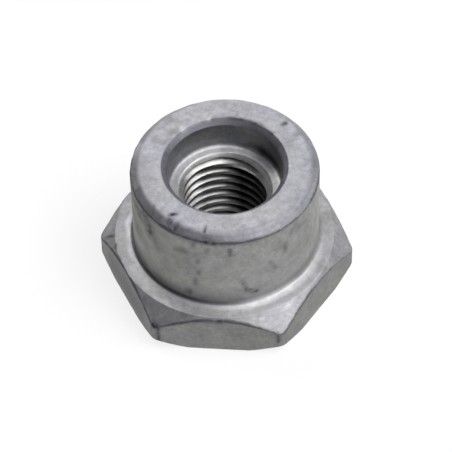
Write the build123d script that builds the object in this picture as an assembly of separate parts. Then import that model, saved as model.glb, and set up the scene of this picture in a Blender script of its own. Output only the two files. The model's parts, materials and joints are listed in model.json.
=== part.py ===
from build123d import *
import math
import os

# Hex weld nut, in millimetres: a hexagon with a tall round boss, counterbored and tapped right through.
# The origin is the centre of the flat base, +Z runs up the thread axis, and one flat faces -Y.
# The sizes are driven outwards from the thread, so the walls keep their thickness when it changes.

# Thread: a metric fine thread, kept here as its tapped bore
thread_diameter = 10.0
thread_pitch = 1.25
tap_drill_allowance = 0.05  # the drill is this much over diameter less pitch
lead_in_clearance = 0.05  # each lead-in cone opens this far past the thread, on the radius
lead_in_slope = 45.0  # degrees from the thread axis

# Counterbore in the top of the boss
counterbore_step = 1.1  # from the thread's outer radius to the wall of the counterbore
counterbore_depth = 3.8
counterbore_floor_fillet = 0.5
mouth_chamfer = 0.6

# Round boss
boss_wall = 3.9  # round the counterbore
boss_height = 10.65  # above the hexagon
rim_chamfer = 0.8
foot_fillet = 0.7

# Hexagon
ring_width = 1.85  # ring round the foot of the boss
ring_slope = 12.0  # degrees below level, on its way out
ring_inset = 0.15  # from the ring's edge to each flat
hexagon_height = 5.65  # at the foot of the boss
corner_radius = 1.0
top_cone_slope = 47.0  # degrees below level, from the ring's edge out to the corners
base_cone_slope = 38.0  # degrees above level
base_cone_start = 0.3  # the cone starts this far outside the flats, so it only cuts the corners

# Sizes that follow
tapped_radius = (thread_diameter - thread_pitch + tap_drill_allowance) / 2
lead_in_radius = thread_diameter / 2 + lead_in_clearance
lead_in_depth = (lead_in_radius - tapped_radius) / math.tan(math.radians(lead_in_slope))
counterbore_radius = thread_diameter / 2 + counterbore_step
boss_radius = counterbore_radius + boss_wall
ring_radius = boss_radius + ring_width
flat_distance = ring_radius + ring_inset
corner_distance = flat_distance / math.cos(math.radians(30))
ring_edge_height = hexagon_height - ring_width * math.tan(math.radians(ring_slope))
overall_height = hexagon_height + boss_height
counterbore_floor = overall_height - counterbore_depth

# Both cones run on to the sharp corners of the hexagon, which the upright rounding then takes off.
top_cone_foot = ring_edge_height - (corner_distance - ring_radius) * math.tan(math.radians(top_cone_slope))
base_cone_radius = flat_distance + base_cone_start
base_cone_top = (corner_distance - base_cone_radius) * math.tan(math.radians(base_cone_slope))

# A fillet takes no more than a share of the ledge at its foot.
ledge_share = 0.6
foot_fillet_radius = min(foot_fillet, ledge_share * ring_width)
floor_fillet_radius = min(counterbore_floor_fillet, ledge_share * (counterbore_radius - lead_in_radius))


def turned_blank():
    """The half section as it is turned, with both cones of the hexagon, swept round the thread axis."""
    foot_corner = (boss_radius, hexagon_height)
    floor_corner = (counterbore_radius, counterbore_floor)
    outside = [
        (base_cone_radius, 0),
        (corner_distance, base_cone_top),
        (corner_distance, top_cone_foot),
        (ring_radius, ring_edge_height),
        foot_corner,
        (boss_radius, overall_height - rim_chamfer),
        (boss_radius - rim_chamfer, overall_height),
    ]
    inside = [
        (counterbore_radius + mouth_chamfer, overall_height),
        (counterbore_radius, overall_height - mouth_chamfer),
        floor_corner,
        (lead_in_radius, counterbore_floor),
        (tapped_radius, counterbore_floor - lead_in_depth),
        (tapped_radius, lead_in_depth),
        (lead_in_radius, 0),
    ]
    section = make_face(Polyline(*outside, *inside, close=True))
    section = fillet(section.vertices().sort_by_distance(foot_corner)[0], foot_fillet_radius)
    section = fillet(section.vertices().sort_by_distance(floor_corner)[0], floor_fillet_radius)
    return revolve(Plane.XZ * section, Axis.Z)


def hexagon_bar():
    """A hexagonal bar with rounded corners, as tall as the whole nut."""
    outline = RegularPolygon(flat_distance, 6, major_radius=False)
    outline = fillet(outline.vertices(), corner_radius)
    return extrude(outline, overall_height)


weld_nut = turned_blank() & hexagon_bar()

os.makedirs("parts", exist_ok=True)
export_step(weld_nut, "parts/weld_nut.step")
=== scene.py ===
from collections import namedtuple
import json
import math

import bmesh
import bpy
import numpy as np
from mathutils import Matrix, Quaternion, Vector, noise


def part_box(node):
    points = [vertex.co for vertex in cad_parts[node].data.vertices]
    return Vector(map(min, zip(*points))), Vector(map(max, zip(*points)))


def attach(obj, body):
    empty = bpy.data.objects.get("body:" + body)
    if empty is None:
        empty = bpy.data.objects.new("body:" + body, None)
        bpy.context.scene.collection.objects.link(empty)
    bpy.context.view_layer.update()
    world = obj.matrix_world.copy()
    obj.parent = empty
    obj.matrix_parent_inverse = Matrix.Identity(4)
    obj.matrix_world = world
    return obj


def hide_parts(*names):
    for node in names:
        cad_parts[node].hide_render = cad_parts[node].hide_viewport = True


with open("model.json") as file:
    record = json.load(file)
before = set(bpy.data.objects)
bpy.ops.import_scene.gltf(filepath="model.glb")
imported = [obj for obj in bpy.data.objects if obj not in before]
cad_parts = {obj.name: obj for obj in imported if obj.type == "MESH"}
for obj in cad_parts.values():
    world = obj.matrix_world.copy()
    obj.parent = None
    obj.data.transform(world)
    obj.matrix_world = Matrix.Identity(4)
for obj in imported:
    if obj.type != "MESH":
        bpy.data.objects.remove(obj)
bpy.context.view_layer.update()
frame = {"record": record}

# Dresses the hex weld nut: one closed mesh with its real thread, in mottled zinc coated steel,
# on a pale floor in soft studio light. The scene is in metres and the sizes below are in
# millimetres, in the part's own frame: the flat base is at z = 0, +Z runs up the thread axis,
# one flat of the hexagon faces -Y, and angles are degrees round +Z from +X.

MM = 0.001

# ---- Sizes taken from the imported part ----
node_low, node_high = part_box("weld_nut")
mount_sizes = {mount["name"]: mount["dims"] for mount in frame["record"]["mounts"]}
overall_height = (node_high.z - node_low.z) / MM
flat_distance = node_high.y / MM
tapped_radius = mount_sizes["thread"]["r_mm"]
counterbore_radius = mount_sizes["counterbore"]["r_mm"]
boss_radius = mount_sizes["boss"]["r_mm"]

# ---- The rest of the turned section ----
hexagon_height = 5.65
ring_radius = 11.85
ring_slope = 12.0
ring_hollow_out = 0.9  # from the boss to the middle of the dip that the tool left in the ring
ring_hollow_depth = 0.05
ring_shift = (-0.16, 0.10)  # the ring's edge was turned this far off the thread's axis, in x and y
corner_radius = 1.0
top_cone_slope = 47.0
base_cone_slope = 38.0
base_cone_radius = 12.3
foot_fillet = 0.7
rim_chamfer = 0.8
mouth_chamfer = 0.6
counterbore_depth = 3.8
floor_fillet = 0.5
lead_in_radius = 5.05
counterbore_floor = overall_height - counterbore_depth

# ---- Thread: metric, right-handed ----
thread_pitch = 1.25
thread_root_radius = 4.92
crest_width = 0.40
root_width = 0.16
crest_rounding = 0.05
root_rounding = 0.07
lead_in_join = 0.2  # the thread's rows stop this far inside each lead-in cone
thread_start = 0.79  # height of a crest's middle at angle 0, less whole pitches
spare_turns = 3  # turns beyond both ends, which the lead-in cones cut off

# ---- How the real edges are broken ----
edge_rounding = 0.12
base_edge_break = 0.12
lead_in_rounding = 0.25
rim_top_rounding = 0.8
mouth_rounding = 0.22
ring_edge_rounding = 0.08
ring_hollow_rounding = 3.0
rounding_share = 0.45  # a rounding takes at most this share of the runs beside it

# ---- Wear of the edges ----
edge_wear_reach = 0.7
lit_side_wear = 0.64  # wear of an edge on its lit side, as a share of that on its shaded side, which painted shade darkens more
corner_line_worn = 0.70
chip_depth = 0.09
chip_size = 1.0
chip_spread = 0.2  # more of each worn edge is chipped as this rises
swell_depth = 0.03
swell_size = 1.8

# ---- Painted shade, dirt and painted light round the outside: sides are degrees round the nut ----
# A "gather" says how closely something keeps to its side.
# Painted shade and dirt in the crevice at the boss's foot, darkest on the shaded front left
shaded_front_side = -125
crevice_shade_reach = 0.37
crevice_shade_gather = 3.0
crevice_shade_most = 0.92
crevice_shade_core = 1.7  # the middle of the crevice line is all dark as this rises above 1
crevice_line = (0.21, 0.165)  # out from the boss, and up from the hexagon
# Painted shade over the rim's chamfer on the front left, and over the highlight on its upper edge
rim_painted_shade = 0.55
rim_shade_fade = 2  # the painted shade thins faster away from the edge as this rises
rim_shade_side = -110
rim_shade_gather = 3
rim_top_shade = 0.35  # painted shade over the highlight on the rim's upper edge, on its brighter side
rim_top_side = -55
rim_top_gather = 3
rim_top_reach = 0.5
# Painted highlight along the fillet at the boss's foot
fillet_highlight = 0.95
fillet_highlight_side = -98
fillet_highlight_gather = 11
fillet_highlight_line = (0.56, -0.115)  # out from the boss, and up from the hexagon
fillet_highlight_reach = 0.26
foot_light = 0.25  # painted light: the boss wall is this much lighter at its foot
foot_light_reach = 4.5
mark_wander = 0.24  # how far a mark strays from its line
mark_wander_size = 1.3
mark_wander_seed = 11

# ---- Coating on each kind of face, each with a tone painted for how the light falls on it, so tops and floors are painted lighter and walls darker: red, green, blue and roughness ----
lit_and_shaded_coatings = {
    "under": (0.33, 0.33, 0.34, 0.58),
    "hexagon_side": (0.228, 0.230, 0.226, 0.58),
    "hexagon_top": (0.362, 0.361, 0.384, 0.58),
    "ring": (0.376, 0.376, 0.390, 0.54),
    "boss_wall": (0.280, 0.281, 0.274, 0.58),
    "rim": (0.305, 0.302, 0.330, 0.64),
    "top": (0.408, 0.409, 0.438, 0.62),
    "mouth": (0.200, 0.200, 0.232, 0.62),
    "counterbore_wall": (0.240, 0.244, 0.256, 0.50),
    "counterbore_floor": (0.660, 0.662, 0.674, 0.54),
    "lead_in": (0.480, 0.481, 0.486, 0.52),
    "thread": (0.570, 0.570, 0.567, 0.34),
    "shaded_deep_thread": (0.520, 0.520, 0.517, 0.34),
}
shaded_deep_thread_heights = (11.5, 7.0)  # painted shade: the thread's coating darkens into that of the shaded deep thread between these heights

# ---- Painted shade in the bore ----
# Shade is painted down one side. "Sides" go from 1 on the shaded side of the bore to -1 on the lit
# side.
# A pair of sides, heights or phases says where something starts and where it is at its full.
bore_shade_side = 15
# Painted shade on the counterbore's wall, on its shaded side
wall_shade = 0.3
wall_shade_sides = (0.2, 0.9)
painted_shadow_patch = (53.0, 5.90, 13.0, 34.0, 5.85, 12.9)  # painted shadow at the counterbore's foot: angle, radius and height of both ends
painted_shadow_half_width = 1.15
painted_shadow_dark = 0.78
lit_sides = (-0.3, 0.3)  # on the sides turned round, so the lit side is at 1
# Painted shade over the highlights on the lit side of the counterbore's floor and fillet
floor_shade = 0.24
floor_shade_reach = 0.3
floor_shade_edge = 0.2  # the painted shade fades out this far from both edges of the floor
floor_fillet_shade = 0.28
floor_fillet_line = 0.15  # in from the wall and up from the floor
floor_fillet_reach = 0.4
lead_in_edge_shade = 0.3  # painted shade over the highlight on the edge of the lead-in
lead_in_edge_shade_reach = 0.3
lead_in_painted_light = 0.30  # painted light: how much lighter the lead-in cone is on the lit side
lead_in_painted_light_sides = (0.2, 0.9)  # on the sides turned round
lead_in_painted_light_reach = 0.1
cone_coating_depths = (0.05, 0.15)  # past the bore's wall, where the cone's coating takes over
cone_coating_reach = 0.05

# ---- Painted shade on the thread: its phase goes from 0 at a crest's middle up to 1 at the next ----
root_dark = 0.93  # painted shade: how much darker the thread is in its roots
root_dark_depth = 0.2  # all dark this far below the crests
root_dark_sides = (-0.95, -0.35)
crest_shade = 0.88  # how much painted shade darkens the crests
crest_shade_heights = (10.95, 10.5)
crest_shade_sides = (0.2, 0.55)
left_thread_shade = 0.3  # painted shade: how much darker the thread is on its left
left_thread_shade_side = -0.3
left_thread_shade_reach = 0.45
first_flank_heights = (11.0, 11.4)  # above these the flank over a crest is kept free of the painted root shade
first_flank_phases = (0.46, 0.38)
first_flank_left_share = 0.3  # how free of the painted root shade that flank is on the left
first_flank_shade = 0.25  # painted shade: how much darker that flank is at its darkest
first_flank_shade_side = -0.55
first_flank_shade_reach = 0.35
groove_line = 0.50  # painted shadow: how dark the thread's groove is where it runs out over the lead-in
groove_phase = 0.8
groove_reach = 0.16

# ---- Stains on the boss wall: angle and height of both ends, half width, darkness ----
wall_stains = [
    (-104.3, 15.1, -104.8, 14.4, 0.40, 0.45),
    (-116.5, 13.0, -110.0, 13.3, 0.65, 0.45),
    (-95.5, 14.6, -96.5, 14.0, 0.50, 0.35),
    (-83.2, 14.6, -82.6, 13.7, 0.42, 0.70),
    (-102.6, 12.2, -102.9, 11.8, 0.36, 0.42),
    (-101.9, 10.5, -102.1, 10.1, 0.34, 0.45),
    (-103.8, 9.0, -104.8, 8.4, 0.36, 0.52),
    (-107.9, 6.9, -108.6, 6.4, 0.50, 0.60),
    (-75.2, 9.1, -72.2, 7.4, 0.38, 0.62),
    (-70.6, 7.3, -66.4, 6.9, 0.38, 0.85),
    (-57.8, 11.0, -54.4, 9.7, 0.36, 0.38),
    (-47.2, 12.6, -47.2, 11.8, 0.46, 0.42),
    (-42.0, 13.8, -38.0, 14.6, 0.45, 0.26),
    (-38.0, 14.6, -34.5, 13.6, 0.45, 0.26),
    (-141.5, 14.6, -137.0, 13.2, 1.90, 0.68),
    (-147.0, 14.8, -143.0, 13.6, 1.10, 0.50),
    (-134.0, 13.2, -131.0, 11.6, 1.30, 0.36),
    (-137.0, 15.0, -125.0, 14.4, 1.30, 0.28),
    (-152.0, 12.4, -144.0, 10.4, 1.60, 0.22),
    (-178.0, 15.2, -148.0, 14.0, 2.00, 0.62),
    (-170.0, 12.8, -154.0, 10.6, 2.00, 0.46),
    (-128.0, 13.6, -122.0, 9.6, 1.30, 0.12),
    (-117.0, 11.6, -109.0, 11.2, 1.00, 0.18),
    (-90.0, 11.4, -84.0, 12.4, 0.90, 0.15),
]

# ---- Nicks and streaks on the top: angle and radius of both ends, half width, darkness, depth ----
top_nicks = [
    (-125.2, 8.85, -124.0, 8.38, 0.40, 0.90, 0.07),
    (-99.9, 9.25, -99.4, 8.45, 0.26, 0.85, 0.02),
    (45.3, 8.66, 45.9, 8.32, 0.36, 0.90, 0.06),
    (31.6, 9.20, 31.0, 8.50, 0.22, 0.35, 0.00),
    (29.6, 8.30, 28.6, 7.20, 0.26, 0.22, 0.00),
    (134.0, 9.10, 135.6, 8.40, 0.26, 0.28, 0.00),
    (141.0, 7.00, 146.0, 7.30, 0.40, 0.30, 0.00),
    (152.0, 6.90, 158.0, 7.10, 0.36, 0.26, 0.00),
    (106.0, 6.68, 95.0, 6.68, 0.30, 0.60, 0.02),
    (95.0, 6.68, 80.0, 6.68, 0.28, 0.55, 0.01),
    (80.0, 6.68, 62.0, 6.68, 0.28, 0.60, 0.01),
    (62.0, 6.68, 45.0, 6.68, 0.30, 0.65, 0.02),
    (90.0, 6.80, 90.0, 7.35, 0.14, 0.35, 0.00),
    (83.0, 6.80, 83.0, 7.25, 0.14, 0.35, 0.00),
    (76.0, 6.80, 76.0, 7.40, 0.14, 0.40, 0.00),
]

# ---- Dark spots on the rim, its edge and the hexagon's edges, and painted shade on the ring and the
# fillet at the boss's foot: angle, radius, height of both ends, then half width, darkness and depth
# ----
spots_and_painted_shade = [
    (-157.8, 9.40, 16.1, -158.2, 9.90, 15.7, 0.55, 0.45, 0.04),
    (-138.5, 9.35, 16.2, -137.0, 9.90, 15.7, 0.70, 0.42, 0.05),
    (-123.0, 9.30, 16.2, -122.0, 9.70, 15.8, 0.60, 0.70, 0.05),
    (-117.3, 9.30, 16.2, -117.0, 10.0, 15.5, 0.46, 0.75, 0.04),
    (-150.0, 9.95, 15.6, -132.0, 9.95, 15.6, 0.45, 0.40, 0.03),
    (-109.0, 9.20, 16.3, -109.0, 9.45, 16.1, 0.34, 0.50, 0.02),
    (-99.0, 9.70, 15.8, -88.0, 9.90, 15.6, 0.40, 0.50, 0.05),
    (-98.0, 9.95, 15.5, -91.0, 10.0, 15.5, 0.44, 1.00, 0.02),
    (-91.0, 10.0, 15.5, -83.0, 10.0, 15.5, 0.38, 0.90, 0.01),
    (-132.0, 10.0, 15.5, -118.0, 10.0, 15.5, 0.34, 0.62, 0.03),
    (-118.0, 10.0, 15.5, -98.0, 10.0, 15.5, 0.34, 0.55, 0.03),
    (128.0, 6.40, 16.0, 104.0, 6.40, 16.0, 0.50, 0.24, 0.00),
    (104.0, 6.40, 16.0, 80.0, 6.40, 16.0, 0.50, 0.20, 0.00),
    # Painted shade along the ring's edge at the front, over its highlight
    (-108.0, 11.8, 5.30, -84.0, 11.8, 5.30, 0.50, 0.22, 0.00),
    (-84.0, 11.8, 5.30, -62.0, 11.8, 5.30, 0.50, 0.14, 0.00),
    (-165.0, 12.2, 2.50, -135.0, 12.2, 2.50, 3.00, 0.36, 0.00),
    (-95.5, 12.1, 5.00, -88.0, 12.1, 5.00, 0.32, 0.95, 0.04),
    (-106.0, 12.4, 4.60, -100.0, 12.2, 4.90, 0.24, 0.70, 0.02),
    (-152.8, 12.1, 5.00, -149.0, 12.1, 5.00, 0.36, 0.70, 0.05),
    (-174.0, 12.1, 5.00, -176.5, 12.95, 4.10, 0.30, 1.00, 0.02),
    (-168.0, 11.95, 5.10, -166.0, 12.0, 5.10, 0.30, 0.60, 0.03),
    (-160.0, 12.1, 5.00, -158.0, 12.0, 5.10, 0.32, 0.70, 0.04),
    (-121.0, 13.5, 3.40, -118.3, 13.6, 3.20, 0.55, 1.00, 0.03),
    (-117.9, 13.55, 3.40, -117.9, 13.55, 0.90, 0.26, 0.90, 0.02),
    (-62.1, 13.55, 3.40, -62.1, 13.55, 2.00, 0.22, 0.80, 0.02),
    # Painted shade on the ring and the hexagon's top at the front right
    (-66.0, 11.2, 5.40, -44.0, 11.2, 5.40, 0.90, 0.12, 0.00),
    (-44.0, 11.2, 5.40, -22.0, 11.2, 5.40, 0.90, 0.12, 0.00),
    (-60.0, 12.5, 4.50, -60.0, 12.9, 4.10, 1.60, 0.10, 0.00),
    # Painted shade on the fillet at the boss's foot, narrowing its highlight
    (-66.0, 10.4, 5.75, -50.0, 10.4, 5.75, 0.50, 0.26, 0.00),
    (-50.0, 10.4, 5.75, -34.0, 10.4, 5.75, 0.50, 0.28, 0.00),
    (-34.0, 10.4, 5.75, -18.0, 10.4, 5.75, 0.50, 0.24, 0.00),
]

# ---- Places rubbed bright, and painted light and highlights: angle, radius and height of both ends, then half width and brightness ----
rubs_and_painted_light = [
    (108.8, 6.85, 16.3, 107.0, 7.00, 16.3, 0.34, 0.85),
    (135.6, 6.85, 16.3, 135.6, 6.85, 16.3, 0.30, 0.80),
    # Painted light on the front of the boss wall
    (-100.0, 10.0, 8.40, -82.0, 10.0, 8.40, 1.60, 0.16),
    (-82.0, 10.0, 8.40, -62.0, 10.0, 8.40, 1.60, 0.20),
    (-96.0, 10.0, 10.9, -76.0, 10.0, 10.9, 1.60, 0.09),
    (-76.0, 10.0, 10.9, -54.0, 10.0, 10.9, 1.60, 0.11),
    (2.2, 6.80, 16.3, 2.2, 6.80, 16.3, 0.24, 0.60),
    # Painted light on the ring at the front left, and a painted highlight along its edge
    (-150.0, 11.2, 5.40, -130.0, 11.2, 5.40, 0.60, 0.20),
    (-128.0, 11.7, 5.30, -116.0, 11.7, 5.30, 0.26, 0.30),
    (-116.0, 11.7, 5.30, -104.0, 11.7, 5.30, 0.26, 0.26),
    (-10.0, 6.40, 16.0, 8.0, 6.40, 16.0, 0.60, 0.42),
    (8.0, 6.40, 16.0, 26.0, 6.40, 16.0, 0.60, 0.30),
    # Painted light at the foot of the counterbore's far wall
    (75.0, 6.05, 13.3, 105.0, 6.05, 13.3, 0.60, 0.13),
    (-194.0, 9.65, 15.9, -177.0, 9.65, 15.9, 0.70, 0.50),
    (-177.0, 9.65, 15.9, -160.0, 9.65, 15.9, 0.60, 0.36),
    # Painted highlight along the fillet at the boss's foot on the left
    (-200.0, 10.6, 5.60, -180.0, 10.6, 5.60, 0.44, 0.55),
    (-180.0, 10.6, 5.60, -160.0, 10.6, 5.60, 0.44, 0.46),
    (-160.0, 10.6, 5.60, -142.0, 10.6, 5.60, 0.40, 0.30),
    (-68.5, 12.1, 4.95, -66.5, 12.2, 4.90, 0.18, 0.50),
    (-63.0, 12.4, 4.60, -61.5, 12.6, 4.40, 0.20, 0.40),
    (-54.0, 11.9, 5.10, -50.0, 12.0, 5.10, 0.18, 0.50),
]

# ---- Mesh steps ----
columns_on_flat = 52
columns_on_corner = 6
edge_rows = 4
fillet_rows = 8
thread_edge_rows = 3
weld_distance = 0.0002
sharp_angle = 50  # degrees; edges sharper than this keep their line

# ---- Coating detail, sizes in millimetres ----
grain_size = 0.16
grain_strength = 0.36
speckle_size = 0.5
speckle_strength = 0.7
cloud_size = 1.8
cloud_strength = 0.8
patch_size = 5.0
mottle_roughness = 0.6  # how much fine detail the speckle and the cloud keep
cool_tint = (0.992, 0.992, 1.015, 1)
warm_tint = (1.010, 1.006, 0.975, 1)
warm_patches = (0.3, 0.7)  # the noise from which the tint turns warm, and where it has
# Mixed into the coating: bright metal for rubbed places and painted light, and a dark colour for
# stains, wear, dirt and painted shade
bright_metal_and_painted_light = (0.62, 0.62, 0.64, 1)
dark_stain_and_painted_shade = (0.045, 0.043, 0.056, 1)
most_dark = 0.95  # share of the dark colour where it is darkest
edge_dark = 0.75  # the same share on a worn edge
edge_dark_steps = (0.5, 0.9)
edge_speckle = 0.5  # how ragged the speckle makes the worn edges
edge_cloud = 1.0  # how ragged the cloud makes them
stain_and_shade_speckles = (0.35, 0.65)
stain_and_shade_thinnest = 0.6  # share of the darkness of a stain or painted shade between its speckles
stain_and_shade_thickest = 1.3  # and in them
shade_film_cloud = 0.5  # how patchy the cloud makes the painted shade and dirt
roughness_cloud = 0.16  # how much the cloud varies the roughness
dark_roughness = 0.12  # added where it is dark
brightened_roughness = -0.25  # added where it is rubbed bright or painted light
bump_strength = 0.5
bump_height = 0.03
grain_bump = 0.5  # height of the grain's bumps, as a share of the cloud's
bump_roughness = (0.34, 0.52)  # the bump fades out on coatings smoother than this

# ---- Light: each lamp's name, angle round the nut, height in degrees and watts ----
lamps = [
    ("lamp_key", 0, 58, 1.90),
    ("lamp_top", 0, 88, 0.28),
    ("lamp_front_high", -42, 60, 0.66),
    ("lamp_front_right", -45, 18, 0.95),
    ("lamp_back_left", 135, 50, 0.72),
    ("lamp_back", 90, 18, 0.70),
]
lamp_distance = 500
lamp_size = 300
room_light = 0.03
wall_tops = (0.06, 0.15)  # sines of the elevations between which the pale walls fade
floor_white = 0.85
floor_glow = 0.8
floor_reach = 1500  # from the middle of the floor to each side
floor_gap = 0.02  # between the nut and the floor

# ---- Camera: its side of the nut, its height and its roll in degrees ----
camera_side = -84.76
camera_elevation = 50.88
camera_roll = -1.295
camera_distance = 278.8
camera_aim_height = 6.2
lens_length = 206.1
sensor_width = 36
nearest_seen = 10
farthest_seen = 10000

FULL_TURN = 2 * math.pi
HALF_SECTOR = math.radians(30)
Corner = namedtuple("Corner", "radius height rounding wear rows_after coating")
Mark = namedtuple("Mark", "start end half_width darkness depth brightness")

# Angle from the middle of a flat to where the corner's rounding starts
corner_start = math.atan((flat_distance - corner_radius) * math.tan(HALF_SECTOR) / flat_distance)


# ---- The section of the nut ----


def column_angles():
    """Angles of the upright lines of points, with one on each line where a flat meets a corner."""
    on_flat = np.linspace(-corner_start, corner_start, columns_on_flat, endpoint=False)
    corner_end = 2 * HALF_SECTOR - corner_start
    on_corner = np.linspace(corner_start, corner_end, columns_on_corner, endpoint=False)
    sector = np.concatenate([on_flat, on_corner])
    first_flat = -math.pi / 2
    return np.concatenate([sector + first_flat + turn * 2 * HALF_SECTOR for turn in range(6)])


def off_middle_of_flat(angles):
    """How far each angle is from the middle of the flat that it crosses."""
    return np.abs((angles + math.pi / 2 + HALF_SECTOR) % (2 * HALF_SECTOR) - HALF_SECTOR)


def hexagon_radius(angles):
    """Distance from the axis to the rounded hexagon at each angle."""
    off_flat = off_middle_of_flat(angles)
    on_flat = flat_distance / np.cos(off_flat)
    corner_centre = (flat_distance - corner_radius) / math.cos(HALF_SECTOR)
    off_corner = HALF_SECTOR - off_flat
    reach = np.maximum(corner_radius**2 - (corner_centre * np.sin(off_corner)) ** 2, 0)
    on_corner = corner_centre * np.cos(off_corner) + np.sqrt(reach)
    return np.where(off_flat > corner_start, on_corner, on_flat)


def ring_edge_radius(angles):
    """Distance from the axis to the ring's edge, which runs a little off centre."""
    shift_x, shift_y = ring_shift
    ring = ring_radius + shift_x * np.cos(angles) + shift_y * np.sin(angles)
    return np.minimum(ring, hexagon_radius(angles) - edge_rounding)


def section_corners(wall, ring):
    """Corners of the section, where the hexagon's wall and the ring's edge are at these radii.

    The section runs out along the base, up the outside and down the bore to the thread. Each
    corner has its radius, height and rounding, how worn it is, then the rows of points and the
    coating of the run after it.
    """
    thread_end_radius = lead_in_radius - lead_in_join
    base_edge = np.minimum(base_cone_radius, wall - base_edge_break)
    base_rise = (wall - base_edge) * math.tan(math.radians(base_cone_slope))
    ring_fall = math.tan(math.radians(ring_slope))
    ring_edge = hexagon_height - (ring - boss_radius) * ring_fall
    cone_foot = ring_edge - (wall - ring) * math.tan(math.radians(top_cone_slope))
    hollow_radius = boss_radius + ring_hollow_out
    hollow_height = hexagon_height - ring_hollow_out * ring_fall - ring_hollow_depth
    rim_foot = overall_height - rim_chamfer
    rim_top_radius = boss_radius - rim_chamfer
    mouth_radius = counterbore_radius + mouth_chamfer
    mouth_foot = overall_height - mouth_chamfer
    thread_top = counterbore_floor - lead_in_join
    return [
        Corner(thread_end_radius, lead_in_join, 0, 0, 0, "thread"),
        Corner(lead_in_radius, 0, edge_rounding, 0, 10, "under"),
        Corner(base_edge, 0, edge_rounding, 0, 1, "under"),
        Corner(wall, base_rise, edge_rounding, 0.5, 7, "hexagon_side"),
        Corner(wall, cone_foot, edge_rounding, 1, 5, "hexagon_top"),
        Corner(ring, ring_edge, ring_edge_rounding, 0, 2, "ring"),
        Corner(hollow_radius, hollow_height, ring_hollow_rounding, 0, 0, "ring"),
        Corner(boss_radius, hexagon_height, foot_fillet, 0, 20, "boss_wall"),
        Corner(boss_radius, rim_foot, edge_rounding, 1, 2, "rim"),
        Corner(rim_top_radius, overall_height, rim_top_rounding, 0.3, 8, "top"),
        Corner(mouth_radius, overall_height, mouth_rounding, 0.5, 1, "mouth"),
        Corner(counterbore_radius, mouth_foot, edge_rounding, 0, 6, "counterbore_wall"),
        Corner(counterbore_radius, counterbore_floor, floor_fillet, 0, 0, "counterbore_floor"),
        Corner(lead_in_radius, counterbore_floor, lead_in_rounding, 0, 0, "lead_in"),
        Corner(thread_end_radius, thread_top, 0, 0, 0, "lead_in"),
    ]


def arc_points(before, corner, after, rounding, rows):
    """The arc that rounds a corner, as that many rows of points."""
    to_before = before - corner
    to_after = after - corner
    length_before = np.linalg.norm(to_before, axis=-1, keepdims=True)
    length_after = np.linalg.norm(to_after, axis=-1, keepdims=True)
    along_before = to_before / length_before
    along_after = to_after / length_after
    cosine = np.sum(along_before * along_after, axis=-1, keepdims=True)
    half_angle = np.arccos(np.clip(cosine, -1, 1)) / 2
    most = rounding_share * np.minimum(length_before, length_after)
    tangent = np.minimum(rounding / np.tan(half_angle), most)
    start = corner + along_before * tangent
    end = corner + along_after * tangent
    weight = np.sin(half_angle)
    made = []
    for t in np.linspace(0, 1, rows):
        first = (1 - t) ** 2
        middle = 2 * t * (1 - t) * weight
        last = t**2
        made.append((first * start + middle * corner + last * end) / (first + middle + last))
    return made


def section_rows(corners, count):
    """Rows of (radius, height) for that many columns, which run each row is on, and how near each
    point is to a worn edge, from 1 on a sharply worn edge down to 0."""
    places = []
    for corner in corners:
        radius = np.zeros(count) + corner.radius
        places.append(np.stack(np.broadcast_arrays(radius, corner.height), -1))
    rows = [places[0]]
    run_place = [0]
    worn_edges = []
    for index in range(1, len(corners) - 1):
        corner = corners[index]
        steps = fillet_rows if corner.rounding >= floor_fillet else edge_rows
        arc = arc_points(*places[index - 1:index + 2], corner.rounding, steps)
        run_start = rows[-1]
        for share in np.linspace(0, 1, corners[index - 1].rows_after + 2)[1:-1]:
            rows.append(run_start * (1 - share) + arc[0] * share)
            run_place.append(index - 1)
        worn_edges.append((len(rows) + steps // 2, corner.wear))
        rows += arc
        run_place += list(np.linspace(index - 1, index, steps))
    rows.append(places[-1])
    run_place.append(len(corners) - 2)
    rows = np.array(rows)
    lengths = np.linalg.norm(np.diff(rows, axis=0), axis=-1)
    travelled = np.concatenate([np.zeros((1, count)), np.cumsum(lengths, axis=0)])
    nearness = [
        worn * near(travelled - travelled[edge], edge_wear_reach) for edge, worn in worn_edges
    ]
    return rows, np.array(run_place), np.max(nearness, axis=0)


# ---- How far and how near ----


def rise(values, start, end):
    """From 0 to 1 as the values go evenly from start to end."""
    return np.clip((values - start) / (end - start), 0, 1)


def near(distance, reach):
    """1 where the distance is nothing, falling evenly to 0 at the reach."""
    return np.clip(1 - np.abs(distance) / reach, 0, 1)


def radii_of(points):
    """How far each point is from the thread's axis."""
    return np.hypot(points[:, 0], points[:, 1])


def angles_of(points):
    """The angle of each point round the thread's axis, in radians."""
    return np.arctan2(points[:, 1], points[:, 0])


def facing(angles, side):
    """1 on this side of the nut, which is given in degrees, down to 0 on the far side."""
    return 0.5 + 0.5 * np.cos(angles - math.radians(side))


def toward_bore_shade(points):
    """1 on the side of the bore where shade is painted, down to -1 on the lit side."""
    return np.cos(angles_of(points) - math.radians(bore_shade_side))


def from_foot_line(points, line):
    """Distance to a line round the boss's foot, given out from the boss and up from the hexagon."""
    out, up = line
    return np.hypot(radii_of(points) - boss_radius - out, points[:, 2] - hexagon_height - up)


# ---- The thread ----


def cone_radius(heights):
    """Radius of the nearer lead-in cone at each height."""
    return lead_in_radius - np.minimum(heights, counterbore_floor - heights)


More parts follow.
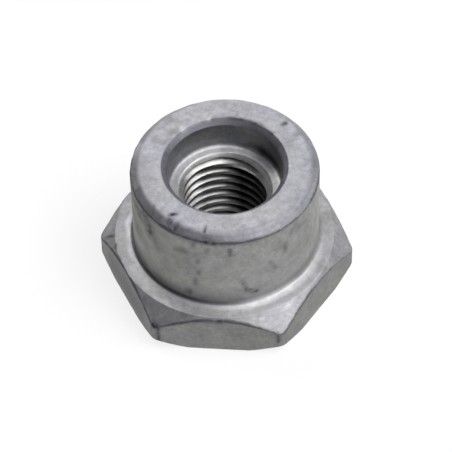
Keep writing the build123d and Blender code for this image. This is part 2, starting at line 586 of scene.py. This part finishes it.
def thread_form():
    """One pitch of the thread's section, as (radius, height) from a crest's middle upwards."""
    half_crest = crest_width / 2
    half_root = root_width / 2
    middle = thread_pitch / 2
    corners = [
        ((tapped_radius, 0), 0),
        ((tapped_radius, half_crest), crest_rounding),
        ((thread_root_radius, middle - half_root), root_rounding),
        ((thread_root_radius, middle + half_root), root_rounding),
        ((tapped_radius, thread_pitch - half_crest), crest_rounding),
        ((tapped_radius, thread_pitch), 0),
    ]
    flank_ends = (2, 4)
    points = [np.array(place, float) for place, _ in corners]
    made = [points[0]]
    for index in range(1, len(corners) - 1):
        arc = arc_points(*points[index - 1:index + 2], corners[index][1], thread_edge_rows)
        if index in flank_ends:
            made.append((made[-1] + arc[0]) / 2)
        made += arc
    return np.array(made)


def thread_rows(angles):
    """Rows of (radius, height) that climb with the thread and stop on the two lead-in cones."""
    form = thread_form()
    low_end = lead_in_join
    high_end = counterbore_floor - lead_in_join
    turns = math.ceil((high_end - low_end) / thread_pitch) + spare_turns
    climb = (angles - angles[0]) / FULL_TURN * thread_pitch
    start = thread_start + angles[0] / FULL_TURN * thread_pitch
    start -= math.ceil((start - low_end) / thread_pitch + 1) * thread_pitch
    rows = []
    for turn in range(turns):
        for radius, up in form:
            height = np.clip(start + turn * thread_pitch + up + climb, low_end, high_end)
            cone = cone_radius(height)
            at_end = (height == low_end) | (height == high_end)
            rows.append(np.stack([np.where(at_end, cone, np.maximum(radius, cone)), height], -1))
    return np.array(rows), len(form)


# ---- Coating, painted light and shade, dirt and wear at each point ----


def coating_and_light_of_rows(corners, run_place):
    """Red, green, blue and roughness of the coating on each row, with the light and shade painted into
    each kind of face.
    """
    run_coatings = np.array([lit_and_shaded_coatings[corner.coating] for corner in corners])
    runs = np.arange(len(corners))
    return np.stack([np.interp(run_place, runs, run_coatings[:, k]) for k in range(4)], -1)


def thread_coating_and_shade(points):
    """Red, green, blue and roughness on the thread, with painted shade in its roots and down one side.
    """
    heights = points[:, 2]
    shaded = toward_bore_shade(points)
    share = rise(heights, *shaded_deep_thread_heights)[:, None]
    made = np.array(lit_and_shaded_coatings["thread"]) * (1 - share) + np.array(lit_and_shaded_coatings["shaded_deep_thread"]) * share
    uncut = np.maximum(tapped_radius, cone_radius(heights))
    cut = radii_of(points) - uncut
    on_cone = rise(uncut - tapped_radius, *cone_coating_depths) * near(cut, cone_coating_reach)
    made += on_cone[:, None] * (np.array(lit_and_shaded_coatings["lead_in"]) - made)
    made[:, :3] *= thread_lightness(points, cut, shaded)[:, None]
    return made


def thread_lightness(points, cut, shaded):
    """Share of its lightness that the painted shade leaves each point, which is cut this deep."""
    heights = points[:, 2]
    phase = ((heights - thread_start) / thread_pitch - angles_of(points) / FULL_TURN) % 1
    at_top = rise(heights, *first_flank_heights)
    on_left = rise(-shaded, *lit_sides)
    unshaded = at_top * rise(phase, *first_flank_phases)
    unshaded *= 1 - (1 - first_flank_left_share) * on_left
    in_root = rise(cut, 0, root_dark_depth) * rise(shaded, *root_dark_sides) * (1 - unshaded)
    on_crest = rise(heights, *crest_shade_heights) * rise(shaded, *crest_shade_sides)
    groove = at_top * near(phase - groove_phase, groove_reach)
    left = near(shaded - left_thread_shade_side, left_thread_shade_reach)
    flank = at_top * near(shaded - first_flank_shade_side, first_flank_shade_reach)
    painted_shade = (1 - root_dark * in_root) * (1 - crest_shade * on_crest) * (1 - groove_line * groove)
    return painted_shade * (1 - left_thread_shade * left) * (1 - first_flank_shade * flank)


def lead_in_painted_lightness(points):
    """Painted light: how much lighter than its coating each point of the lead-in cone is, on the lit
    side.
    """
    radii = radii_of(points)
    off_cone = lead_in_radius - radii + points[:, 2] - counterbore_floor
    on_cone = near(off_cone, lead_in_painted_light_reach) * (radii < lead_in_radius)
    return 1 + lead_in_painted_light * on_cone * rise(-toward_bore_shade(points), *lead_in_painted_light_sides)


def bore_painted_shade(points):
    """Painted shade down one side of the counterbore, a painted shadow at its foot, and painted shade
    over the highlights on the lit side and round the lead-in's edge.
    """
    radii = radii_of(points)
    shaded = toward_bore_shade(points)
    above_floor = points[:, 2] - counterbore_floor
    on_wall = near(radii - counterbore_radius, mouth_chamfer)
    on_wall *= rise(above_floor, floor_fillet / 2, floor_fillet)
    from_wall = counterbore_radius - radii
    from_fillet_line = np.hypot(from_wall - floor_fillet_line, above_floor - floor_fillet_line)
    on_floor = near(above_floor, floor_shade_reach)
    on_floor *= rise(radii - lead_in_radius, 0, floor_shade_edge)
    on_floor *= rise(from_wall, 0, floor_shade_edge)
    highlight_shade = floor_fillet_shade * near(from_fillet_line, floor_fillet_reach) + floor_shade * on_floor
    highlight_shade *= rise(-shaded, *lit_sides)
    from_lead_in = np.hypot(radii - lead_in_radius, above_floor)
    start, end = place_at(*painted_shadow_patch[:3]), place_at(*painted_shadow_patch[3:])
    painted_shade = wall_shade * on_wall * rise(shaded, *wall_shade_sides)
    painted_shade += painted_shadow_dark * streak(points, start, end, painted_shadow_half_width)
    return painted_shade + highlight_shade + lead_in_edge_shade * near(from_lead_in, lead_in_edge_shade_reach)


def crevice_shade_and_dirt(points):
    """Painted shade and dirt in the fillet at the foot of the boss, most of it at the front on the
    left.
    """
    from_line = from_foot_line(points, crevice_line)
    thick = np.clip(crevice_shade_core * near(from_line, crevice_shade_reach), 0, 1)
    return crevice_shade_most * thick * facing(angles_of(points), shaded_front_side) ** crevice_shade_gather


def rim_shade_film(points):
    """Painted shade round the outer edge of the rim, fading over the chamfer, and over the highlight
    on its upper edge.
    """
    radii = radii_of(points)
    angles = angles_of(points)
    below_top = overall_height - points[:, 2]
    from_edge = np.hypot(radii - boss_radius, below_top - rim_chamfer)
    from_top_edge = np.hypot(radii - boss_radius + rim_chamfer, below_top)
    edge_shade = near(from_edge, rim_chamfer) ** rim_shade_fade
    edge_shade *= facing(angles, rim_shade_side) ** rim_shade_gather
    highlight_shade = near(from_top_edge, rim_top_reach) * facing(angles, rim_top_side) ** rim_top_gather
    return rim_painted_shade * edge_shade + rim_top_shade * highlight_shade


def painted_light_at(points):
    """Painted light: a highlight along the fillet, and a lighter foot on the boss wall."""
    radii = radii_of(points)
    line = fillet_highlight * near(from_foot_line(points, fillet_highlight_line), fillet_highlight_reach)
    line *= facing(angles_of(points), fillet_highlight_side) ** fillet_highlight_gather
    above_foot = points[:, 2] - hexagon_height
    wall = foot_light * near(above_foot, foot_light_reach) * near(radii - boss_radius, foot_fillet)
    return np.maximum(line, wall * (radii > boss_radius - edge_rounding))


def outside_wear(angles, corners, run_place, edge_wear):
    """Wear of the outside: its edges and the upright lines where flats end, most on one side."""
    off_line = (off_middle_of_flat(angles) - corner_start) * flat_distance
    wall_run = [corner.coating for corner in corners].index("hexagon_side")
    on_wall = near(run_place - wall_run, 1)
    upright = corner_line_worn * on_wall[:, None] * near(off_line, edge_wear_reach)[None, :]
    share = lit_side_wear + (1 - lit_side_wear) * facing(angles, shaded_front_side)
    return np.maximum(edge_wear, upright) * share


# ---- Marks ----


def place_at(angle, radius, height):
    """A point at that angle in degrees, radius and height."""
    around = math.radians(angle)
    return np.array([radius * math.cos(around), radius * math.sin(around), height])


def streak(points, start, end, half_width):
    """1 along the line between two places, fading to nothing at a little over the half width."""
    along = end - start
    length_squared = max(float(along @ along), 1e-9)
    share = np.clip((points - start) @ along / length_squared, 0, 1)
    distance = np.linalg.norm(points - start - share[:, None] * along, axis=1)
    return np.exp(-2 * (distance / half_width) ** 2)


def all_marks():
    """Every mark on the nut, painted light and shade among them, with both its ends as points."""
    made = []
    for angle, height, end_angle, end_height, half_width, darkness in wall_stains:
        start = place_at(angle, boss_radius, height)
        end = place_at(end_angle, boss_radius, end_height)
        made.append(Mark(start, end, half_width, darkness, 0, 0))
    for angle, radius, end_angle, end_radius, half_width, darkness, depth in top_nicks:
        start = place_at(angle, radius, overall_height)
        end = place_at(end_angle, end_radius, overall_height)
        made.append(Mark(start, end, half_width, darkness, depth, 0))
    for *ends, half_width, darkness, depth in spots_and_painted_shade:
        start, end = place_at(*ends[:3]), place_at(*ends[3:])
        made.append(Mark(start, end, half_width, darkness, depth, 0))
    for *ends, half_width, brightness in rubs_and_painted_light:
        start, end = place_at(*ends[:3]), place_at(*ends[3:])
        made.append(Mark(start, end, half_width, 0, 0, brightness))
    return made


def marks_at(points):
    """How dark the marks and painted shade are at each point, how deep they go, and where it is rubbed
    bright or painted light.
    """
    noise.seed_set(mark_wander_seed)
    strays = np.array([noise.noise_vector(Vector(p) / mark_wander_size) for p in points])
    points = points + mark_wander * strays
    dark = np.zeros(len(points))
    depth = np.zeros(len(points))
    bright = np.zeros(len(points))
    for mark in all_marks():
        fade = streak(points, mark.start, mark.end, mark.half_width)
        dark = np.maximum(dark, mark.darkness * fade)
        depth = np.maximum(depth, mark.depth * fade)
        bright = np.maximum(bright, mark.brightness * fade)
    return dark, depth, bright


# ---- The nut's mesh ----


def to_points(rows, angles):
    """Turns rows of (radius, height) at these angles into points."""
    radius = rows[..., 0]
    points = np.stack([radius * np.cos(angles), radius * np.sin(angles), rows[..., 1]], -1)
    return points.reshape(-1, 3)


def grid_faces(row_count, column_count, first, row_shift=0):
    """Quads between rows. Where the columns close on themselves they may meet rows further up."""
    faces = []
    for row in range(row_count - 1):
        for column in range(column_count):
            beside = (column + 1) % column_count
            shift = row_shift if beside == 0 else 0
            upper = min(row + 1 + shift, row_count - 1)
            lower = min(row + shift, row_count - 1)
            faces.append((
                first + row * column_count + column,
                first + lower * column_count + beside,
                first + upper * column_count + beside,
                first + (row + 1) * column_count + column,
            ))
    return faces


def add_values(mesh, name, values):
    """Stores one number for each point, for the material to read."""
    stored_values = mesh.attributes.new(name, "FLOAT", "POINT")
    stored_values.data.foreach_set("value", np.ascontiguousarray(values, np.float32))


def read_values(mesh, name):
    """The numbers stored for each point."""
    values = np.empty(len(mesh.vertices), np.float32)
    mesh.attributes[name].data.foreach_get("value", values)
    return values


def add_coating_and_light(mesh, points, coating):
    """Stores the coating with its painted light and shade, the marks, and the painted shade and dirt
    at each point.
    """
    coating[:, :3] *= lead_in_painted_lightness(points)[:, None]
    dark, depth, bright = marks_at(points)
    colours = mesh.attributes.new("coating_and_painted_light_colour", "FLOAT_COLOR", "POINT")
    opaque = np.ones((len(coating), 1))
    colours.data.foreach_set("color", np.concatenate([coating[:, :3], opaque], 1).ravel())
    add_values(mesh, "coating_roughness", coating[:, 3])
    add_values(mesh, "stain_and_shade", dark)
    add_values(mesh, "shade_and_dirt_film", crevice_shade_and_dirt(points) + rim_shade_film(points) + bore_painted_shade(points))
    add_values(mesh, "knock_depth", depth)
    add_values(mesh, "rubbed_and_painted_light", np.maximum(bright, painted_light_at(points)))


def weld_and_tidy(mesh):
    """Joins points that coincide, which closes the mesh, and turns every face outwards."""
    work = bmesh.new()
    work.from_mesh(mesh)
    bmesh.ops.remove_doubles(work, verts=work.verts, dist=weld_distance)
    bmesh.ops.recalc_face_normals(work, faces=work.faces)
    work.to_mesh(mesh)
    work.free()
    mesh.polygons.foreach_set("use_smooth", [True] * len(mesh.polygons))
    mesh.set_sharp_from_angle(angle=math.radians(sharp_angle))


def wear_surface(mesh):
    """Pushes the surface in a little: slow swells, chips along the worn edges, and the knocks."""
    normals = np.empty(len(mesh.vertices) * 3)
    mesh.vertex_normals.foreach_get("vector", normals)
    points = np.empty(len(mesh.vertices) * 3)
    mesh.vertices.foreach_get("co", points)
    normals = normals.reshape(-1, 3)
    points = points.reshape(-1, 3)
    swell = np.array([noise.noise(Vector(p) / swell_size) for p in points])
    chip = np.array([noise.noise(Vector(p) / chip_size) for p in points])
    push = swell_depth * (0.5 + 0.5 * swell)
    push += chip_depth * read_values(mesh, "edge_wear") ** 2 * np.clip(chip + chip_spread, 0, 1)
    push += read_values(mesh, "knock_depth")
    moved = points - normals * push[:, None]
    moved[:, 2] = np.maximum(moved[:, 2], 0)
    mesh.vertices.foreach_set("co", moved.ravel())


def build_nut():
    """The whole nut as one closed mesh, with the coating, painted light and shade, and wear that its
    material reads.
    """
    angles = column_angles()
    count = len(angles)
    corners = section_corners(hexagon_radius(angles), ring_edge_radius(angles))
    outside, run_place, edge_wear = section_rows(corners, count)
    inside, rows_per_turn = thread_rows(angles)
    bore_points = to_points(inside, angles)
    points = np.concatenate([to_points(outside, angles), bore_points])
    faces = grid_faces(len(outside), count, 0)
    thread_faces = grid_faces(len(inside), count, len(outside) * count, rows_per_turn)
    faces += [face[::-1] for face in thread_faces]
    outside_coating_and_light = np.repeat(coating_and_light_of_rows(corners, run_place), count, axis=0)
    worn = outside_wear(angles, corners, run_place, edge_wear).ravel()
    mesh = bpy.data.meshes.new("weld_nut_threaded")
    mesh.from_pydata(points.tolist(), [], faces)
    add_values(mesh, "edge_wear", np.concatenate([worn, np.zeros(len(bore_points))]))
    add_coating_and_light(mesh, points, np.concatenate([outside_coating_and_light, thread_coating_and_shade(bore_points)]))
    weld_and_tidy(mesh)
    wear_surface(mesh)
    mesh.transform(Matrix.Scale(MM, 4))
    nut = bpy.data.objects.new("weld_nut_threaded", mesh)
    bpy.context.scene.collection.objects.link(nut)
    return nut


# ---- Materials ----


def feed(tree, socket, value):
    """Sets an input to a value, or links it to the output of another node."""
    if isinstance(value, bpy.types.NodeSocket):
        tree.links.new(value, socket)
    else:
        socket.default_value = value


def node(tree, kind, settings=None, **inputs):
    """Adds a node. Each input is a value, or the output of another node that feeds it."""
    made = tree.nodes.new(kind)
    for name, value in (settings or {}).items():
        setattr(made, name, value)
    for name, value in inputs.items():
        feed(tree, made.inputs[name.replace("_", " ")], value)
    return made


def math_node(tree, operation, *values):
    """A Math node's output. Each value is a number or an output."""
    made = node(tree, "ShaderNodeMath", {"operation": operation})
    for socket, value in zip(made.inputs, values):
        feed(tree, socket, value)
    return made.outputs[0]


def noise_node(tree, place, size_mm, detail, roughness=0.5):
    """Noise whose patches are about that many millimetres across, from 0 to 1."""
    made = node(tree, "ShaderNodeTexNoise", Vector=place, Scale=1 / (size_mm * MM))
    made.inputs["Detail"].default_value = detail
    made.inputs["Roughness"].default_value = roughness
    return made.outputs["Fac"]


def spread_node(tree, value, middle, spread):
    """Turns noise from 0 to 1 into values that vary by the spread round the middle."""
    return math_node(tree, "MULTIPLY_ADD", value, spread, middle - spread / 2)


def step_node(tree, value, start, end):
    """Rises smoothly from 0 to 1 as the value goes from start to end."""
    made = node(tree, "ShaderNodeMapRange", {"interpolation_type": "SMOOTHSTEP"}, Value=value)
    made.inputs["From Min"].default_value = start
    made.inputs["From Max"].default_value = end
    return made.outputs["Result"]


def colour_mix(tree, share, first, second):
    """The first colour turning into the second as the share goes from 0 to 1."""
    made = node(tree, "ShaderNodeMix", {"data_type": "RGBA"})
    for index, value in ((0, share), (6, first), (7, second)):
        feed(tree, made.inputs[index], value)
    return made.outputs[2]


def shader_mix(tree, share, first, second):
    """The first shader turning into the second as the share goes from 0 to 1."""
    made = node(tree, "ShaderNodeMixShader", Fac=share)
    feed(tree, made.inputs[1], first.outputs[0])
    feed(tree, made.inputs[2], second.outputs[0])
    return made


def stored(tree, name, output="Fac"):
    """A value that the mesh stores at its points."""
    return node(tree, "ShaderNodeAttribute", {"attribute_name": name}).outputs[output]


def empty_material(name):
    """A new material whose nodes are still to be added."""
    material = bpy.data.materials.new(name)
    material.use_nodes = True
    material.node_tree.nodes.clear()
    return material


def mottled_colour(tree, place, grain, speckle, cloud):
    """The coating's colour with its painted light and shade, mottled from fine grain up to wide clouds
    and warmer in patches.
    """
    brightness = spread_node(tree, grain, 1, grain_strength)
    speckled = spread_node(tree, speckle, 1, speckle_strength)
    clouded = spread_node(tree, cloud, 1, cloud_strength)
    brightness = math_node(tree, "MULTIPLY", brightness, speckled)
    brightness = math_node(tree, "MULTIPLY", brightness, clouded)
    patch = noise_node(tree, place, patch_size, detail=2)
    tint = colour_mix(tree, step_node(tree, patch, *warm_patches), cool_tint, warm_tint)
    tinted = node(tree, "ShaderNodeVectorMath", {"operation": "MULTIPLY"})
    feed(tree, tinted.inputs[0], stored(tree, "coating_and_painted_light_colour", "Color"))
    feed(tree, tinted.inputs[1], tint)
    coating = node(tree, "ShaderNodeVectorMath", {"operation": "SCALE"}, Scale=brightness)
    feed(tree, coating.inputs[0], tinted.outputs[0])
    return coating.outputs[0]


def dark_share(tree, speckle, cloud):
    """How dark each place is: worn ragged at the edges, stained, or under painted shade and dirt."""
    ragged = spread_node(tree, speckle, 0, edge_speckle)
    ragged = math_node(tree, "ADD", ragged, spread_node(tree, cloud, 0, edge_cloud))
    edge = math_node(tree, "ADD", stored(tree, "edge_wear"), ragged)
    edge = math_node(tree, "MULTIPLY", step_node(tree, edge, *edge_dark_steps), edge_dark)
    stain_and_shade_spread = stain_and_shade_thickest - stain_and_shade_thinnest
    speckled = step_node(tree, speckle, *stain_and_shade_speckles)
    thickness = math_node(tree, "MULTIPLY_ADD", speckled, stain_and_shade_spread, stain_and_shade_thinnest)
    stain_and_shade = math_node(tree, "MULTIPLY", stored(tree, "stain_and_shade"), thickness)
    clouded = spread_node(tree, cloud, 1, shade_film_cloud)
    shade_and_dirt_film = math_node(tree, "MULTIPLY", stored(tree, "shade_and_dirt_film"), clouded)
    dark = math_node(tree, "MAXIMUM", edge, math_node(tree, "MAXIMUM", stain_and_shade, shade_and_dirt_film))
    return math_node(tree, "MINIMUM", dark, most_dark)


def clouded_roughness(tree, cloud, dark, rubbed_and_painted_light):
    """The coating's roughness, more where it is dark and less where it is rubbed bright or painted
    light.
    """
    roughness = spread_node(tree, cloud, 0, roughness_cloud)
    roughness = math_node(tree, "ADD", roughness, stored(tree, "coating_roughness"))
    roughness = math_node(tree, "MULTIPLY_ADD", dark, dark_roughness, roughness)
    return math_node(tree, "MULTIPLY_ADD", rubbed_and_painted_light, brightened_roughness, roughness)


def fine_bumps(tree, grain, cloud):
    """The coating's fine bumps, which fade out where it is smooth."""
    height = math_node(tree, "MULTIPLY_ADD", grain, grain_bump, cloud)
    rough_share = step_node(tree, stored(tree, "coating_roughness"), *bump_roughness)
    strength = math_node(tree, "MULTIPLY", rough_share, bump_strength)
    bump = node(tree, "ShaderNodeBump", Height=height, Strength=strength, Distance=bump_height * MM)
    return bump.outputs["Normal"]


def zinc_steel():
    """Matt zinc coating on steel, finely mottled, stained in places and worn along the edges, with
    painted light and shade.
    """
    material = empty_material("zinc_steel")
    tree = material.node_tree
    place = node(tree, "ShaderNodeTexCoord").outputs["Object"]
    grain = noise_node(tree, place, grain_size, detail=2)
    speckle = noise_node(tree, place, speckle_size, detail=3, roughness=mottle_roughness)
    cloud = noise_node(tree, place, cloud_size, detail=4, roughness=mottle_roughness)
    dark = dark_share(tree, speckle, cloud)
    rubbed_and_painted_light = stored(tree, "rubbed_and_painted_light")
    colour = mottled_colour(tree, place, grain, speckle, cloud)
    colour = colour_mix(tree, rubbed_and_painted_light, colour, bright_metal_and_painted_light)
    steel = node(
        tree, "ShaderNodeBsdfPrincipled",
        Base_Color=colour_mix(tree, dark, colour, dark_stain_and_painted_shade),
        Metallic=1.0,
        Roughness=clouded_roughness(tree, cloud, dark, rubbed_and_painted_light),
        Normal=fine_bumps(tree, grain, cloud),
    )
    node(tree, "ShaderNodeOutputMaterial", Surface=steel.outputs["BSDF"])
    return material


def floor_paint():
    """White floor that keeps the nut's shadow, and is clear when looked through from beneath."""
    material = empty_material("white_floor")
    tree = material.node_tree
    rays = node(tree, "ShaderNodeLightPath").outputs
    seen = math_node(tree, "MAXIMUM", rays["Is Camera Ray"], rays["Is Glossy Ray"])
    seen = math_node(tree, "MAXIMUM", seen, rays["Is Transmission Ray"])
    place = node(tree, "ShaderNodeTexCoord").outputs["Object"]
    length = node(tree, "ShaderNodeVectorMath", {"operation": "LENGTH"}, Vector=place)
    from_axis = length.outputs["Value"]
    clear_of_nut = step_node(tree, from_axis, tapped_radius * MM, flat_distance * MM)
    glow_share = math_node(tree, "MULTIPLY", seen, floor_glow)
    glow_share = math_node(tree, "MULTIPLY", glow_share, clear_of_nut)
    paint = node(tree, "ShaderNodeBsdfDiffuse", Color=(floor_white, floor_white, floor_white, 1))
    glow = node(tree, "ShaderNodeEmission", Color=(1, 1, 1, 1), Strength=1.0)
    lit = shader_mix(tree, glow_share, paint, glow)
    from_beneath = node(tree, "ShaderNodeNewGeometry").outputs["Backfacing"]
    one_sided = shader_mix(tree, from_beneath, lit, node(tree, "ShaderNodeBsdfTransparent"))
    node(tree, "ShaderNodeOutputMaterial", Surface=one_sided.outputs[0])
    return material


# ---- Studio ----


def lay_floor():
    """A wide, plain floor under the nut."""
    reach = floor_reach * MM
    sunk = -floor_gap * MM
    corners = [(-reach, -reach), (reach, -reach), (reach, reach), (-reach, reach)]
    mesh = bpy.data.meshes.new("studio_floor")
    mesh.from_pydata([(x, y, sunk) for x, y in corners], [], [(0, 1, 2, 3)])
    mesh.materials.append(floor_paint())
    floor = bpy.data.objects.new("studio_floor", mesh)
    bpy.context.scene.collection.objects.link(floor)


def direction_at(side, height):
    """Outwards from the nut at that side and height, both in degrees."""
    around = math.radians(side)
    up = math.radians(height)
    return Vector((math.cos(around) * math.cos(up), math.sin(around) * math.cos(up), math.sin(up)))


def soft_lamp(name, side, height, watts):
    """A round soft lamp that faces the nut."""
    lamp = bpy.data.lights.new(name, "AREA")
    lamp.shape = "DISK"
    lamp.size = lamp_size * MM
    lamp.energy = watts
    direction = direction_at(side, height)
    holder = bpy.data.objects.new(name, lamp)
    holder.location = direction * (lamp_distance * MM)
    holder.rotation_mode = "QUATERNION"
    holder.rotation_quaternion = direction.to_track_quat("Z", "Y")
    holder.visible_camera = False
    bpy.context.scene.collection.objects.link(holder)


def light_studio():
    """Soft lamps over the nut, in a room whose pale walls end low down and whose ceiling is dim."""
    world = bpy.data.worlds.new("studio")
    bpy.context.scene.world = world
    world.use_nodes = True
    tree = world.node_tree
    tree.nodes.clear()
    direction = node(tree, "ShaderNodeTexCoord").outputs["Generated"]
    height = node(tree, "ShaderNodeSeparateXYZ", Vector=direction).outputs["Z"]
    above_walls = step_node(tree, height, *wall_tops)
    brightness = math_node(tree, "MULTIPLY_ADD", above_walls, room_light - 1, 1)
    room = node(tree, "ShaderNodeBackground", Color=(1, 1, 1, 1), Strength=brightness)
    node(tree, "ShaderNodeOutputWorld", Surface=room.outputs[0])
    for lamp in lamps:
        soft_lamp(*lamp)


def set_camera():
    """A long lens that looks down on the nut from in front."""
    back = direction_at(camera_side, camera_elevation)
    roll = Quaternion((0, 0, 1), math.radians(camera_roll))
    lens = bpy.data.cameras.new("camera")
    lens.sensor_width = sensor_width
    lens.lens = lens_length
    lens.clip_start = nearest_seen * MM
    lens.clip_end = farthest_seen * MM
    camera = bpy.data.objects.new("camera", lens)
    camera.location = Vector((0, 0, camera_aim_height * MM)) + back * (camera_distance * MM)
    camera.rotation_mode = "QUATERNION"
    camera.rotation_quaternion = (-back).to_track_quat("-Z", "Y") @ roll
    bpy.context.scene.collection.objects.link(camera)
    bpy.context.scene.camera = camera


# ---- Put together ----

bpy.context.scene.view_settings.view_transform = "Standard"
weld_nut = build_nut()
weld_nut.data.materials.append(zinc_steel())
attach(weld_nut, "root")
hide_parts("weld_nut")
lay_floor()
light_studio()
set_camera()
